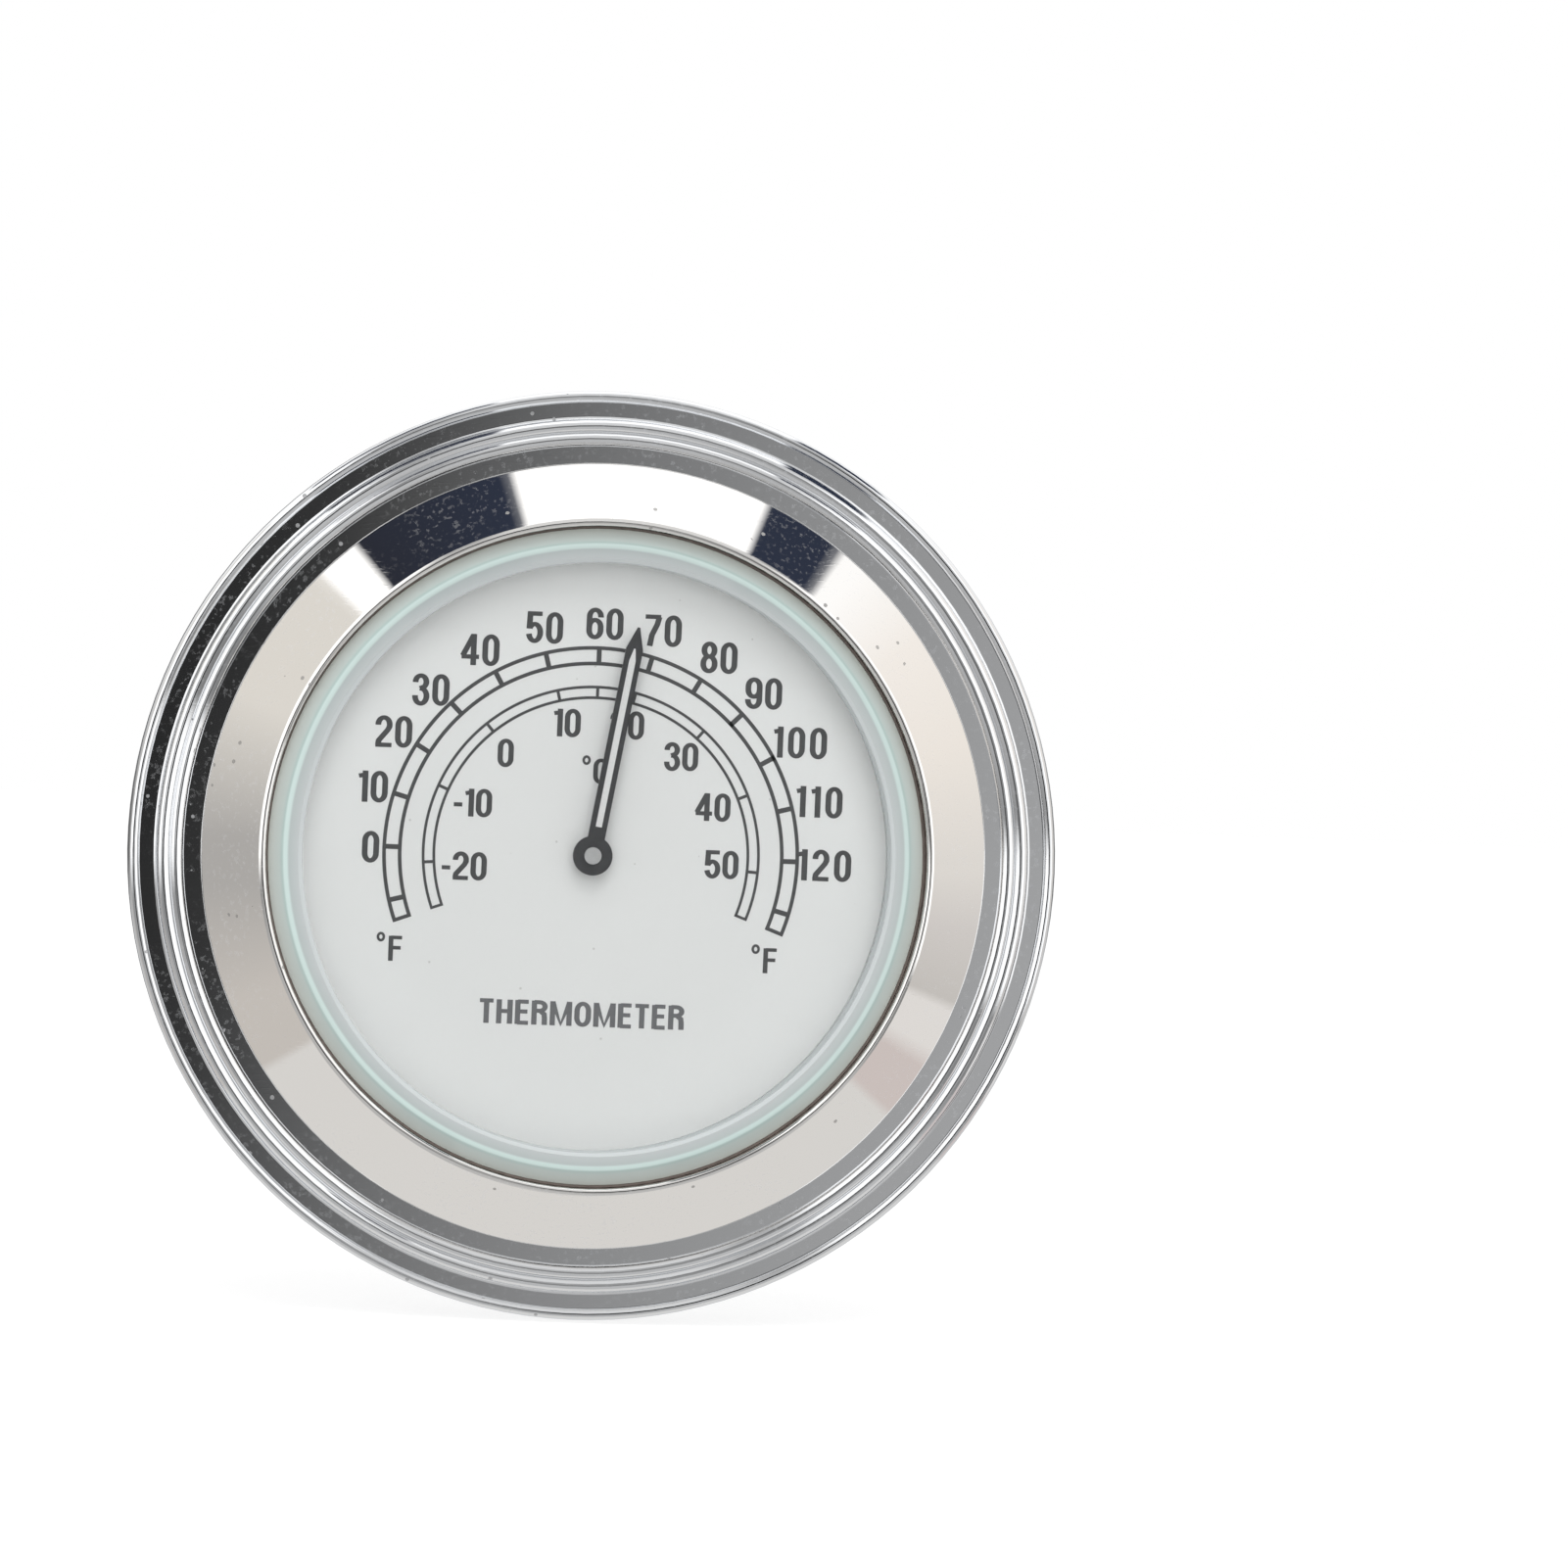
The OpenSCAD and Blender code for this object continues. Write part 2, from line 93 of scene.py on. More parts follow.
class Tree:
    """A small helper that builds a node tree line by line."""

    def __init__(self, owner):
        owner.use_nodes = True
        self.tree = owner.node_tree
        self.tree.nodes.clear()

    def node(self, kind, _props=None, **inputs):
        made = self.tree.nodes.new("ShaderNode" + kind)
        for key, value in (_props or {}).items():
            setattr(made, key, value)
        for key, value in inputs.items():
            self.set(made, key.replace("_", " "), value)
        return made

    def set(self, node, key, value):
        socket = node.inputs[int(key[1:])] if key[0] == "i" and key[1:].isdigit() else node.inputs[key]
        if isinstance(value, bpy.types.Node):
            value = value.outputs[0]
        if isinstance(value, bpy.types.NodeSocket):
            self.tree.links.new(value, socket)
        else:
            socket.default_value = value

    def math(self, operation, a, b=0.0):
        return self.node("Math", {"operation": operation}, i0=a, i1=b)

    def vector(self, operation, a, b):
        return self.node("VectorMath", {"operation": operation}, i0=a, i1=b)

    def scaled(self, vector, factor):
        return self.node("VectorMath", {"operation": "SCALE"}, i0=vector, Scale=factor)

    def unit(self, vector):
        return self.node("VectorMath", {"operation": "NORMALIZE"}, i0=vector)

    def moved(self, normal, start, end):
        """A normal taken from one space (WORLD or OBJECT) to another."""
        spaces = {"vector_type": "NORMAL", "convert_from": start, "convert_to": end}
        return self.node("VectorTransform", spaces, Vector=normal)

    def smooth(self, value, low, high):
        """0 below low, 1 above high, smooth between."""
        made = self.node("MapRange", {"interpolation_type": "SMOOTHSTEP"}, Value=value)
        made.inputs["From Min"].default_value = low
        made.inputs["From Max"].default_value = high
        return made

    def mix(self, factor, a, b, blend="MIX"):
        made = self.node("Mix", {"data_type": "RGBA", "blend_type": blend})
        self.set(made, "i0", factor)
        self.set(made, "i6", a)
        self.set(made, "i7", b)
        return made.outputs[2]

    def ramp(self, factor, stops):
        made = self.node("ValToRGB", Fac=factor)
        band = made.color_ramp
        while len(band.elements) > 1:
            band.elements.remove(band.elements[-1])
        band.elements[0].position = stops[0][0]
        band.elements[0].color = (*stops[0][1], 1)
        for place, colour in stops[1:]:
            band.elements.new(place).color = (*colour, 1)
        return made.outputs[0]


def grey(value):
    """A linear grey."""
    return (value, value, value)


def rgb(r, g, b):
    """A linear colour from 8-bit sRGB values."""
    parts = [c / 255 for c in (r, g, b)]
    return tuple(c / 12.92 if c <= 0.04045 else ((c + 0.055) / 1.055) ** 2.4 for c in parts)


def surface(name):
    """A new material with a Principled shader: (material, tree, shader, object coordinates)."""
    material = bpy.data.materials.new(name)
    tree = Tree(material)
    shader = tree.node("BsdfPrincipled")
    out = tree.node("OutputMaterial")
    tree.tree.links.new(shader.outputs[0], out.inputs["Surface"])
    place = tree.node("TexCoord").outputs["Object"]
    return material, tree, shader, place


def turned_normal(t, place, lip=None):
    """The surface normal without its part along the turning direction, for a smooth lathed face.

    Inside the radius lip it also leans outward, as on a well rounded edge.
    """
    normal = t.moved(t.node("NewGeometry").outputs["Normal"], "WORLD", "OBJECT")
    along = t.unit(t.vector("CROSS_PRODUCT", place, (0, 1, 0)))
    share = t.vector("DOT_PRODUCT", normal, along).outputs["Value"]
    smooth = t.vector("SUBTRACT", normal, t.scaled(along, share))
    if lip:
        outward = t.vector("CROSS_PRODUCT", (0, 1, 0), along)
        blend = 0.05
        past_lip = t.smooth(around(t, place), (lip - blend) * MM, (lip + blend) * MM)
        on_lip = t.math("SUBTRACT", 1.0, past_lip)
        smooth = t.vector("ADD", smooth, t.scaled(outward, t.math("MULTIPLY", on_lip, LIP_LEAN)))
    return t.unit(t.moved(smooth, "OBJECT", "WORLD"))


def chrome(name, tint, roughness, scratches=0.5, pits=0.5, turned=False, lip=None):
    """Plated metal: faint haze, fine scratches and small pits."""
    material, t, shader, place = surface(name)
    haze = t.node("TexNoise", Vector=place, Scale=90.0, Detail=4.0)
    stretched = t.node("Mapping", Vector=place, Scale=(1, 1, 7), Rotation=(0.2, 0.5, 0.7))
    lines = t.node("TexNoise", Vector=stretched, Scale=900.0, Detail=3.0)
    fine = t.ramp(lines.outputs["Fac"], [(0.60, grey(0)), (0.68, grey(1))])
    spots = t.node("TexVoronoi", Vector=place, Scale=950.0, Randomness=1.0)
    rare = t.node("TexNoise", Vector=place, Scale=260.0, Detail=1.0)
    dots = t.math("LESS_THAN", spots.outputs["Distance"], 0.13)
    where = t.math("GREATER_THAN", rare.outputs["Fac"], 0.62)
    pit = t.math("MULTIPLY", dots, where)
    tone = t.mix(t.math("MULTIPLY", pit, pits), (*tint, 1), (*[c * 0.35 for c in tint], 1))
    film = t.node("TexNoise", Vector=place, Scale=3200.0, Detail=2.0)
    patches = t.node("TexNoise", Vector=place, Scale=150.0, Detail=2.0)
    dust = t.math("MULTIPLY", t.smooth(film.outputs["Fac"], 0.56, 0.66),
                  t.smooth(patches.outputs["Fac"], 0.35, 0.65))
    dust = t.math("MULTIPLY", dust, 0.16 * pits)
    t.set(shader, "Base Color", t.mix(dust, tone, (0.42, 0.46, 0.55, 1)))
    t.set(shader, "Metallic", t.math("SUBTRACT", 1.0, dust))
    rough = t.math("MULTIPLY_ADD", haze.outputs["Fac"], 0.05)
    rough.inputs[2].default_value = roughness
    t.set(shader, "Roughness", t.math("ADD", rough, t.math("MULTIPLY", pit, 0.4)))
    height = t.math("SUBTRACT", t.math("MULTIPLY", fine, 0.15 * scratches), pit)
    bump = t.node("Bump", Height=height, Strength=0.12, Distance=0.00002)
    if turned:
        t.set(bump, "Normal", turned_normal(t, place, lip))
    t.set(shader, "Normal", bump)
    return material


def brushed(name, colour, roughness, along=(1, 1, 1), scale=900.0, depth=0.25):
    """Turned, rolled or ground metal with a fine grain."""
    material, t, shader, place = surface(name)
    grain_at = t.node("Mapping", Vector=place, Scale=along)
    grain = t.node("TexNoise", Vector=grain_at, Scale=scale, Detail=5.0)
    cloud = t.node("TexNoise", Vector=place, Scale=120.0, Detail=2.0)
    tone = t.ramp(grain.outputs["Fac"], [(0.3, tuple(c * 0.82 for c in colour)), (0.7, colour)])
    t.set(shader, "Base Color", t.mix(t.math("MULTIPLY", cloud.outputs["Fac"], 0.25), tone,
                                      (*[c * 0.8 for c in colour], 1)))
    shader.inputs["Metallic"].default_value = 1.0
    rough = t.math("MULTIPLY_ADD", grain.outputs["Fac"], 0.15)
    rough.inputs[2].default_value = roughness
    t.set(shader, "Roughness", rough)
    t.set(shader, "Normal", t.node("Bump", Height=grain.outputs["Fac"], Strength=depth, Distance=0.00002))
    return material


def matt(name, colour, roughness, scale=1500.0, depth=0.4, contrast=0.25):
    """Rubber, foam, paint and ink: a mottled colour with a fine surface."""
    material, t, shader, place = surface(name)
    grain = t.node("TexNoise", Vector=place, Scale=scale, Detail=6.0)
    low = tuple(c * (1 - contrast) for c in colour)
    t.set(shader, "Base Color", t.ramp(grain.outputs["Fac"], [(0.3, low), (0.7, colour)]))
    rough = t.math("MULTIPLY_ADD", grain.outputs["Fac"], 0.15)
    rough.inputs[2].default_value = roughness
    t.set(shader, "Roughness", rough)
    t.set(shader, "Normal", t.node("Bump", Height=grain.outputs["Fac"], Strength=depth, Distance=0.00003))
    return material


def around(t, place):
    """Distance from the dial's axis in metres, for a material."""
    parts = t.node("SeparateXYZ", Vector=place)
    square = t.math("ADD", t.math("MULTIPLY", parts.outputs[0], parts.outputs[0]),
                    t.math("MULTIPLY", parts.outputs[2], parts.outputs[2]))
    return t.math("SQRT", square)


def dial_finish():
    """Satin silver-white plate: fine grain, a few specks, and painted light, a lighter tone towards the rim.
    """
    material, t, shader, place = surface("dial_silver")
    grain = t.node("TexNoise", Vector=place, Scale=4200.0, Detail=3.0)
    cloud = t.node("TexNoise", Vector=place, Scale=60.0, Detail=2.0)
    # edge is painted light: the dial is made lighter towards its rim to offset the shade that the bezel casts
    # there.
    middle, edge = rgb(223, 223, 222), rgb(228, 228, 227)
    tone = t.mix(t.smooth(around(t, place), 12 * MM, 20 * MM), (*middle, 1), (*edge, 1))
    tone = t.mix(t.math("MULTIPLY", grain.outputs["Fac"], 0.06), tone, (0.3, 0.3, 0.3, 1))
    tone = t.mix(t.math("MULTIPLY", cloud.outputs["Fac"], 0.08), tone, (*rgb(196, 197, 199), 1))
    specks = t.node("TexVoronoi", Vector=place, Scale=420.0)
    speck = t.math("LESS_THAN", specks.outputs["Distance"], 0.035)
    t.set(shader, "Base Color", t.mix(t.math("MULTIPLY", speck, 0.35), tone, (0.25, 0.24, 0.22, 1)))
    t.set(shader, "Roughness", t.ramp(grain.outputs["Fac"], [(0.3, grey(0.5)), (0.7, grey(0.62))]))
    shader.inputs["Specular IOR Level"].default_value = 0.3
    t.set(shader, "Normal", t.node("Bump", Height=grain.outputs["Fac"], Strength=0.1, Distance=0.00001))
    return material


def spacer_finish():
    """The grey ring under the crystal's slope, with a painted glint: the pale aqua line that the crystal's
    edge throws on it.
    """
    # line, laid along a radius of 20.12 mm, is a painted glint: the aqua light of the crystal's edge.
    colour, line, glint_r = rgb(190, 194, 194), rgb(214, 226, 225), 20.12
    material, t, shader, place = surface("spacer_silver")
    grain = t.node("TexNoise", Vector=place, Scale=1200.0, Detail=4.0)
    r = around(t, place)
    near = t.math("ABSOLUTE", t.math("SUBTRACT", r, glint_r * MM))
    on_glint = t.math("SUBTRACT", 1.0, t.smooth(near, 0.08 * MM, 0.2 * MM))
    tone = t.ramp(grain.outputs["Fac"], [(0.3, tuple(c * 0.93 for c in colour)), (0.7, colour)])
    t.set(shader, "Base Color", t.mix(on_glint, tone, (*line, 1)))
    t.set(shader, "Roughness", t.ramp(grain.outputs["Fac"], [(0.3, grey(0.45)), (0.7, grey(0.6))]))
    return material


def crystal_finish():
    """Clear glass whose ground slope is a frosted ring, with a painted aqua glint along its middle and
    painted shade.
    """
    material = bpy.data.materials.new("crystal_glass")
    t = Tree(material)
    place = t.node("TexCoord").outputs["Object"]
    r = t.math("MULTIPLY", around(t, place), 1 / MM)
    grain = t.node("TexNoise", Vector=place, Scale=700.0, Detail=3.0)
    cloud = t.node("TexNoise", Vector=place, Scale=90.0, Detail=2.0)
    across = t.math("DIVIDE", t.math("SUBTRACT", r, SLOPE_IN_R), CRYSTAL_R - SLOPE_IN_R)
    # The stops from 0.37 to 0.47 are a painted glint: the pale aqua line of the glass's edge.
    ring = t.ramp(across, [(0.0, rgb(180, 185, 186)), (0.3, rgb(172, 180, 180)), (0.37, rgb(196, 213, 210)),
                           (0.47, rgb(198, 215, 212)), (0.53, rgb(168, 186, 183)), (0.62, rgb(181, 191, 188)),
                           (0.85, rgb(186, 192, 188)), (1.0, rgb(184, 187, 181))])
    ring = t.mix(t.math("MULTIPLY", cloud.outputs["Fac"], 0.14), ring, (*rgb(172, 173, 168), 1))
    # Painted shade: the inner part of the ring is made darker at the top and lighter at the bottom.
    height = t.math("DIVIDE", t.node("SeparateXYZ", Vector=place).outputs[2], 2 * CRYSTAL_R * MM)
    painted_shade = t.ramp(t.math("ADD", height, 0.5), [(0.0, grey(1.15)), (0.5, grey(0.98)), (1.0, grey(0.76))])
    inner = t.math("SUBTRACT", 1.0, t.smooth(across, 0.36, 0.6))
    ring = t.mix(inner, ring, painted_shade, "MULTIPLY")
    ground = t.node("BsdfDiffuse", Color=ring)
    through = t.node("BsdfTransparent", Color=(0.985, 0.99, 0.99, 1))
    frost = t.math("MULTIPLY", t.smooth(r, SLOPE_IN_R - 0.36, SLOPE_IN_R - 0.2), 0.93)
    light = t.node("LightPath")
    lets_in = t.math("MAXIMUM", light.outputs["Is Shadow Ray"], light.outputs["Is Diffuse Ray"])
    frost = t.math("MULTIPLY", frost, t.math("SUBTRACT", 1.0, t.math("MULTIPLY", lets_in, 0.85)))
    body = t.node("MixShader", Fac=frost)
    t.set(body, "i1", through)
    t.set(body, "i2", ground)
    smears = t.ramp(grain.outputs["Fac"], [(0.3, grey(0.0)), (0.8, grey(0.05))])
    gloss = t.node("BsdfGlossy", Roughness=smears)
    fresnel = t.node("Fresnel", IOR=1.45)
    shader = t.node("MixShader", Fac=t.math("MULTIPLY", fresnel, 0.6))
    t.set(shader, "i1", body)
    t.set(shader, "i2", gloss)
    out = t.node("OutputMaterial")
    t.tree.links.new(shader.outputs[0], out.inputs["Surface"])
    return material


CHROME_TINT = (0.86, 0.87, 0.885)
MATERIALS = {
    "housing_chrome": chrome("housing_chrome", CHROME_TINT, 0.02, turned=True),
    "bezel_chrome": chrome("bezel_chrome", (0.9, 0.885, 0.865), 0.005, 0.8, 0.6, turned=True, lip=LIP_R),
    "clamp_chrome": chrome("clamp_chrome", (0.84, 0.85, 0.86), 0.05, 0.4, 0.2),
    "liner_rubber": matt("liner_rubber", (0.05, 0.05, 0.052), 0.6),
    "seal_rubber": matt("seal_rubber", rgb(98, 88, 82), 0.5),
    "foam": matt("foam", (0.07, 0.07, 0.075), 0.85, 2600.0, 0.9),
    "zinc_steel": brushed("zinc_steel", (0.62, 0.63, 0.64), 0.28),
    "black_steel": brushed("black_steel", (0.07, 0.07, 0.075), 0.35, (1, 1, 6), 1400.0),
    "stainless": brushed("stainless", (0.72, 0.72, 0.73), 0.2, (1, 8, 1), 800.0, 0.1),
    "case_steel": brushed("case_steel", (0.62, 0.63, 0.64), 0.3, (1, 12, 1)),
    "crystal_glass": crystal_finish(),
    "spacer_silver": spacer_finish(),
    "dial_silver": dial_finish(),
    "brass": brushed("brass", (0.72, 0.55, 0.27), 0.25, (9, 1, 1)),
    "bush_brass": brushed("bush_brass", (0.76, 0.56, 0.26), 0.2, (1, 14, 1)),
    "bimetal": brushed("bimetal", (0.5, 0.43, 0.36), 0.35, (1, 1, 9)),
    "pointer_black": matt("pointer_black", rgb(58, 58, 60), 0.42, 2500.0, 0.15),
    "arbor_steel": brushed("arbor_steel", (0.86, 0.86, 0.86), 0.55, (1, 10, 1)),
}
INK = matt("scale_ink", rgb(74, 74, 75), 0.6, 5000.0, 0.1, 0.12)
WORD_INK = matt("word_ink", rgb(106, 106, 108), 0.6, 5000.0, 0.1, 0.12)
STRIPE = matt("pointer_stripe", rgb(214, 214, 213), 0.5, 5000.0, 0.1, 0.08)

slot_of = {part["node"]: part["material_slot"] for part in frame["record"]["subparts"]}
for node, thing in NODES.items():
    thing.data.materials.clear()
    thing.data.materials.append(MATERIALS[slot_of[node]])


# ---------------------------------------------------------------- rounded edges

body_of = {node: body for body, nodes in frame["record"]["behaviour"]["bodies"].items() for node in nodes}


SHARP = math.radians(35)
EDGE_ROUND = 0.3 * MM


def soften(node):
    """Stands a copy of a CAD piece with rounded edges in its place."""
    build = bmesh.new()
    build.from_mesh(NODES[node].data)
    build.transform(NODES[node].matrix_world)
    bmesh.ops.remove_doubles(build, verts=build.verts, dist=0.001 * MM)
    bmesh.ops.dissolve_limit(build, angle_limit=math.radians(1), verts=build.verts, edges=build.edges)
    sharp = [edge for edge in build.edges
             if len(edge.link_faces) == 2 and edge.calc_face_angle() > SHARP]
    bmesh.ops.bevel(build, geom=sharp, offset=EDGE_ROUND, segments=2, profile=0.5,
                    affect="EDGES", clamp_overlap=True)
    bmesh.ops.triangulate(build, faces=build.faces)
    data = bpy.data.meshes.new(node + "_soft")
    build.to_mesh(data)
    build.free()
    data.shade_smooth()
    data.set_sharp_from_angle(angle=SHARP)
    data.materials.append(MATERIALS[slot_of[node]])
    piece = bpy.data.objects.new(node + "_soft", data)
    bpy.context.scene.collection.objects.link(piece)
    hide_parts(node)
    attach(piece, body_of[node])


soften("clamp_saddle")
soften("clamp_cap")


# ---------------------------------------------------------------- printing on the dial

PEN_X, PEN_Y = 0.0825, 0.0625     # half widths of upright and level strokes, for a letter 1 high
INK_LIFT = 0.002                  # mm between the dial and the ink
INK_STEP = 0.0006                 # mm between crossing strokes
INK_T = 0.012                     # mm, the thinnest stroke
STEPS_IN_CYCLE = 12
stroke_count = [0]                # strokes printed so far, within one cycle


def oval_arc(cx, cy, rx, ry, start, end, steps=16):
    """Points of an elliptical arc from one angle to another, in degrees."""
    turns = [math.radians(start + (end - start) * i / steps) for i in range(steps + 1)]
    return [(cx + rx * math.cos(a), cy + ry * math.sin(a)) for a in turns]


def loop(x0, x1, y0, y1, ry):
    """A closed oval with straight sides: (points, closed)."""
    cx, rx = (x0 + x1) / 2, (x1 - x0) / 2
    return oval_arc(cx, y1 - ry, rx, ry, 0, 180) + oval_arc(cx, y0 + ry, rx, ry, 180, 360), True


def glyph(letter):
    """(width, strokes) of a condensed letter or figure 1 high; a stroke is (points, closed)."""
    a, b = PEN_X, PEN_Y
    w = {"1": 0.30, "-": 0.29, "4": 0.56, "M": 0.86, "T": 0.57, "H": 0.62, "E": 0.53, "R": 0.61,
         "O": 0.64, "F": 0.5, "C": 0.56}.get(letter, 0.53)
    l, r, t, m = a, w - a, 1 - b, w / 2
    rx = (r - l) / 2
    stem = ([(l, 0), (l, 1)], False)
    if letter in "0O":
        return w, [loop(l, r, b, t, 0.24 if letter == "0" else 0.3)]
    if letter == "1":
        return w, [([(r, 0), (r, 1)], False), ([(0.01, 0.83), (r, 0.87)], False)]
    if letter == "2":
        top = oval_arc(m, t - 0.22, rx, 0.22, 185, 0) + [(r, 0.66), (r - 0.05, 0.55)]
        return w, [(top + [(l + 0.03, 0.2), (l + 0.01, b)], False), ([(0.01, b), (w, b)], False)]
    if letter == "3":
        top = oval_arc(m - 0.01, t - 0.2, rx - 0.01, 0.2, 185, -50)
        low = oval_arc(m, b + 0.22, rx, 0.24, 80, -185, 22)
        return w, [(top + [(m - 0.04, 0.53)], False), ([(m - 0.04, 0.53)] + low, False)]
    if letter == "4":
        x = w * 0.68
        return w, [([(x, 0), (x, 1)], False), ([(x - 0.01, 0.97), (0.04, 0.3)], False),
                   ([(0.0, 0.27), (w, 0.27)], False)]
    if letter == "5":
        bowl = oval_arc(m, b + 0.27, rx, 0.27, 150, -170, 24)
        return w, [([(w - 0.03, t), (l + 0.03, t), (l + 0.01, 0.45)], False), (bowl, False)]
    if letter in "69":
        bowl = loop(l, r, b, 0.61, 0.22)
        over = oval_arc(m, t - 0.22, rx, 0.22, -5, 180) + [(l, 0.3)]
        strokes = [bowl, (over, False)]
        if letter == "9":
            strokes = [([(w - x, 1 - y) for x, y in points], closed) for points, closed in strokes]
        return w, strokes
    if letter == "7":
        return w, [([(0.0, t), (w - 0.03, t)], False),
                   ([(r, t), (r - 0.06, 0.7), (m - 0.04, 0.35), (m - 0.1, 0)], False)]
    if letter == "8":
        return w, [loop(l + 0.02, r - 0.02, 0.53, t, 0.2), loop(l, r, b, 0.53, 0.22)]
    if letter == "-":
        return w, [([(0.0, 0.42), (w, 0.42)], False)]
    if letter == "C":
        top = oval_arc(m, t - 0.26, rx, 0.26, -8, 180)
        return w, [(top + oval_arc(m, b + 0.26, rx, 0.26, 180, 368), False)]
    if letter == "F":
        return w, [stem, ([(l, t), (w, t)], False), ([(l, 0.53), (w - 0.04, 0.53)], False)]
    if letter == "T":
        return w, [([(m, 0), (m, 1)], False), ([(0, t), (w, t)], False)]
    if letter == "H":
        return w, [stem, ([(r, 0), (r, 1)], False), ([(l, 0.52), (r, 0.52)], False)]
    if letter == "E":
        return w, [stem] + [([(l, y), (w - short, y)], False) for y, short in ((t, 0), (0.53, 0.04), (b, 0))]
    if letter == "R":
        bowl = [(l, t), (m, t)] + oval_arc(m, 0.76, r - m, t - 0.76, 90, -90) + [(l, 0.76 - (t - 0.76))]
        leg = [(m + 0.02, 0.58), (r - 0.03, 0.45), (r - 0.01, 0.3), (r - 0.005, 0)]
        return w, [stem, (bowl, False), (leg, False)]
    if letter == "M":
        return w, [stem, ([(r, 0), (r, 1)], False), ([(l, 0.98), (m, 0.06), (r, 0.98)], False)]
    raise ValueError(letter)


def stroke(build, points, closed, pen, low_z, high_z):
    """Adds one pen stroke to a bmesh as a thin solid. points are dial x and y; pen is (x, y) half widths."""
    count = len(points)
    sides = []
    for i, (x, y) in enumerate(points):
        before = points[i - 1] if closed or i else None
        after = points[(i + 1) % count] if closed or i < count - 1 else None
        normals = []
        for p, q in ((before, (x, y)), ((x, y), after)):
            if p and q and math.dist(p, q) > 1e-9:
                length = math.dist(p, q)
                normals.append(Vector(((p[1] - q[1]) / length, (q[0] - p[0]) / length)))
        normal = sum(normals, Vector((0, 0)))
        if len(normals) == 2:
            normal = normal / max(1 + normals[0].dot(normals[1]), 0.6)
        sides.append((normal.x * pen[0], normal.y * pen[1]))
    rings = []
    for (x, y), (ox, oy) in zip(points, sides):
        rings.append([build.verts.new(at(x + s * ox, y + s * oy, z))
                      for s, z in ((1, high_z), (-1, high_z), (-1, low_z), (1, low_z))])
    spans = range(count) if closed else range(count - 1)
    for i in spans:
        here, there = rings[i], rings[(i + 1) % count]
        for k in range(4):
            build.faces.new((here[k], here[(k + 1) % 4], there[(k + 1) % 4], there[k]))
    if not closed:
        build.faces.new(rings[0])
        build.faces.new(rings[-1])


def ink(build, points, closed, pen):
    """One printed stroke on the dial; neighbours differ a hair in height, so that none coincide."""
    z = DIAL_Z + INK_LIFT
    stroke_count[0] = (stroke_count[0] + 1) % STEPS_IN_CYCLE
    stroke(build, points, closed, pen, z, z + INK_T + stroke_count[0] * INK_STEP)


def finish_print(name, build, material, body="insert"):
    """Turns a bmesh of print into a piece that rides on a body."""
    bmesh.ops.recalc_face_normals(build, faces=build.faces)
    data = bpy.data.meshes.new(name)
    build.to_mesh(data)
    build.free()
    data.materials.append(material)
    piece = bpy.data.objects.new(name, data)
    bpy.context.scene.collection.objects.link(piece)
    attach(piece, body)


def write(build, text, x, y, height, gap, pen_scale=1.0, stretch=1.0):
    """Prints upright text centred on a place of the dial; sizes in mm."""
    widths = [glyph(letter)[0] * height * stretch for letter in text]
    left = x - (sum(widths) + gap * (len(text) - 1)) / 2
    for letter, width in zip(text, widths):
        for points, closed in glyph(letter)[1]:
            placed = [(left + px * height * stretch, y + (py - 0.5) * height) for px, py in points]
            ink(build, placed, closed, (PEN_X * height * pen_scale, PEN_Y * height * pen_scale))
        left += width + gap


def band(build, inner, outer, line, ticks, tick_line, end):
    """A scale of two arcs, closed at its ends, with a line across at each tick angle."""
    steps = 160
    for r in (inner, outer):
        arc = [polar(r, -end + 2 * end * i / steps) for i in range(steps + 1)]
        ink(build, arc, False, (line / 2, line / 2))
    for angle, width in [(a, tick_line) for a in ticks] + [(-end, line), (end, line)]:
        across = [polar(inner - line / 2, angle), polar(outer + line / 2, angle)]
        ink(build, across, False, (width / 2, width / 2))


DEGREE_F = 1.495           # degrees of angle for one degree F
TOP_F = 60                 # the reading at 12 o'clock
SCALE_END = 110.4          # degrees of angle from 12 o'clock to each end of the scales
INNER_TURN = 1.2           # the inner scale is printed a little clockwise of the outer one
READING = 9.2              # where the pointer stands at rest, in degrees clockwise from 12 o'clock
FIGURE_H, SMALL_FIGURE_H, UNIT_H, WORD_H = 2.02, 1.8, 1.62, 1.56
# Where the middle of each figure stands on the dial: reading, right, up, in mm
F_FIGURES = [(0, -14.3, 0.0), (10, -14.3, 3.9), (20, -13.1, 7.5), (30, -10.8, 10.3), (40, -7.7, 13.0),
             (50, -3.6, 14.6), (60, 0.3, 15.0), (70, 4.1, 14.7), (80, 7.8, 13.1), (90, 10.8, 10.9),
             (100, 13.3, 7.8), (110, 14.7, 4.0), (120, 15.2, -0.1)]
C_FIGURES = [(-20, -8.2, -1.0), (-10, -7.8, 3.1), (0, -5.8, 6.4), (10, -1.9, 8.5), (20, 2.0, 8.5),
             (30, 5.6, 6.6), (40, 7.8, 3.4), (50, 8.5, -0.3)]


def angle_f(reading):
    """Degrees clockwise from 12 o'clock of a reading in degrees F."""
    return (reading - TOP_F) * DEGREE_F


def print_scales():
    """The outer scale in degrees F and the inner one in degrees C."""
    build = bmesh.new()
    band(build, 12.41, 13.42, 0.24, [angle_f(v) for v in range(-10, 131, 10)], 0.32, SCALE_END)
    celsius = [angle_f(v * 1.8 + 32) + INNER_TURN for v in range(-20, 51, 10)]
    band(build, 10.20, 10.89, 0.18, celsius + [0], 0.2, SCALE_END)
    finish_print("scale_bands", build, INK)


